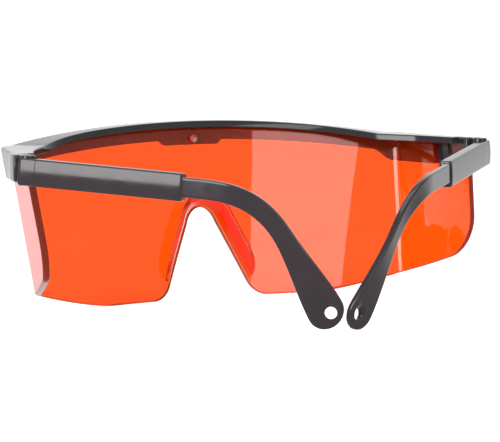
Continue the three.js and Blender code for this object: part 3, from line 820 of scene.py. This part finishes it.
def tinted_polycarbonate(name):
    """Clear orange lens: tinted through its thickness, so that its edges look dark red."""
    material, nodes, links, shader = new_material(name)
    shader.inputs["Base Color"].default_value = (*LENS_COLOUR, 1)
    shader.inputs["Transmission Weight"].default_value = 0.9
    shader.inputs["IOR"].default_value = 1.58
    smudge = noise(nodes, links, 70, 5)
    links.new(ramp(nodes, links, smudge.outputs["Fac"], 0.0, 0.03), shader.inputs["Roughness"])
    ripple = noise(nodes, links, 45, 1)
    relief = nodes.new("ShaderNodeBump")
    relief.inputs["Strength"].default_value = 0.08
    relief.inputs["Distance"].default_value = 0.0002
    links.new(ripple.outputs["Fac"], relief.inputs["Height"])
    links.new(relief.outputs["Normal"], shader.inputs["Normal"])
    absorb = nodes.new("ShaderNodeVolumeAbsorption")
    absorb.inputs["Color"].default_value = (*LENS_ABSORPTION, 1)
    absorb.inputs["Density"].default_value = LENS_DENSITY
    links.new(absorb.outputs["Volume"], nodes["Material Output"].inputs["Volume"])
    return material


black = moulded_plastic("black_moulded_plastic", TEMPLE_COLOURS, (0.08, 0.16), 0.12)
bar_black = moulded_plastic("brow_bar_plastic", BAR_COLOURS, (0.05, 0.1), 0.05)
pin_black = moulded_plastic("pin_plastic", PIN_COLOURS, (0.25, 0.38), 0.3)
stud_face = wrap(0, -LENS_HALF - GAP - 0.8, STUD_Z)
# The stud's red outer ring is painted: it stands in for the red light of the lens's hole edge.
stud_grey = moulded_plastic("stud_plastic", STUD_COLOURS, (0.25, 0.36), 0.3,
                            rim=(stud_face, STUD_PAINTED_RING_RADIUS, STUD_PAINTED_LENS_LIGHT_COLOUR))
orange = tinted_polycarbonate("orange_polycarbonate")

lens_piece(orange)
stud_piece(stud_grey)
bar_piece(bar_black)
for temple, pin_side in (("left", 1), ("right", -1)):
    pin_piece(temple, pin_side, pin_black)
    sleeve_piece(temple, black)
    arm_piece(temple, black)


# ---- Studio ----
def floor():
    """A plain white floor that glows a little. Mirror rays pass it and see the studio instead."""
    mesh = bmesh.new()
    bmesh.ops.create_grid(mesh, x_segments=8, y_segments=8, size=6000)
    made = mesh_object("studio_floor", mesh)
    material, _, _, shader = new_material("studio_floor")
    shader.inputs["Base Color"].default_value = (0.8, 0.8, 0.8, 1)
    shader.inputs["Roughness"].default_value = 0.9
    shader.inputs["Specular IOR Level"].default_value = 0.1
    shader.inputs["Emission Color"].default_value = (1, 1, 1, 1)
    shader.inputs["Emission Strength"].default_value = 0.72
    made.data.materials.append(material)
    made.visible_glossy = False


def world():
    """White beyond the front of the glasses, darker all round the back of them.

    The bright side is a fixed direction in the room, on the line of the photo's camera.
    """
    made = bpy.data.worlds.new("studio")
    bpy.context.scene.world = made
    made.use_nodes = True
    nodes, links = made.node_tree.nodes, made.node_tree.links
    direction = nodes.new("ShaderNodeTexCoord")
    facing = nodes.new("ShaderNodeVectorMath")
    facing.operation = "DOT_PRODUCT"
    facing.inputs[1].default_value = (-math.sin(CAMERA_AZIMUTH), -math.cos(CAMERA_AZIMUTH), 0)
    links.new(direction.outputs["Generated"], facing.inputs[0])
    level = nodes.new("ShaderNodeMapRange")
    level.interpolation_type = "SMOOTHSTEP"
    level.inputs["From Min"].default_value = 0.45
    level.inputs["From Max"].default_value = 0.85
    level.inputs["To Min"].default_value = 0.38
    level.inputs["To Max"].default_value = 1.1
    links.new(facing.outputs["Value"], level.inputs["Value"])
    links.new(level.outputs["Result"], nodes["Background"].inputs["Strength"])
    nodes["Background"].inputs["Color"].default_value = (1, 1, 1, 1)


def softbox(name, azimuth, elevation, distance, width, height, radiance, turn=0):
    """A rectangular light that faces the glasses. Azimuth 0 is the front, 90 the wearer's left."""
    light = bpy.data.lights.new(name, "AREA")
    light.shape = "RECTANGLE"
    light.size, light.size_y = width, height
    light.energy = radiance * math.pi * width * height
    a, e = math.radians(azimuth), math.radians(elevation)
    way = Vector((math.sin(a) * math.cos(e), -math.cos(a) * math.cos(e), math.sin(e)))
    made = bpy.data.objects.new(name, light)
    made.location = Vector((0, 0, 0.03)) + way * distance
    made.rotation_mode = "QUATERNION"
    made.rotation_quaternion = way.to_track_quat("Z", "Y") @ Quaternion((0, 0, 1), math.radians(turn))
    bpy.context.scene.collection.objects.link(made)


def camera():
    """The photo's camera."""
    view = -Vector((math.sin(CAMERA_AZIMUTH) * math.cos(CAMERA_ELEVATION),
                    math.cos(CAMERA_AZIMUTH) * math.cos(CAMERA_ELEVATION),
                    math.sin(CAMERA_ELEVATION)))
    level = Vector((-math.cos(CAMERA_AZIMUTH), math.sin(CAMERA_AZIMUTH), 0))
    up = level.cross(view)
    right = level * math.cos(CAMERA_ROLL) + up * math.sin(CAMERA_ROLL)
    up = up * math.cos(CAMERA_ROLL) - level * math.sin(CAMERA_ROLL)
    x, y, z = CAMERA_TARGET
    target = Vector((x, y + SHIFT_Y, z)) * MM
    data = bpy.data.cameras.new("camera")
    data.sensor_width = CAMERA_SENSOR
    data.lens = CAMERA_LENS
    made = bpy.data.objects.new("camera", data)
    place = Matrix((right, up, -view)).transposed().to_4x4()
    place.translation = target - view * CAMERA_DISTANCE
    made.matrix_world = place
    bpy.context.scene.collection.objects.link(made)
    bpy.context.scene.camera = made


floor()
world()
softbox("side_light", azimuth=112, elevation=19, distance=1.1,
        width=0.6, height=0.84, radiance=6.0)
softbox("top_light", azimuth=0, elevation=88, distance=1.6,
        width=1.4, height=1.2, radiance=1.6)
softbox("band_light", azimuth=190, elevation=21, distance=1.4,
        width=0.39, height=0.9, radiance=2.6, turn=23)
camera()
bpy.context.scene.view_settings.view_transform = "Standard"
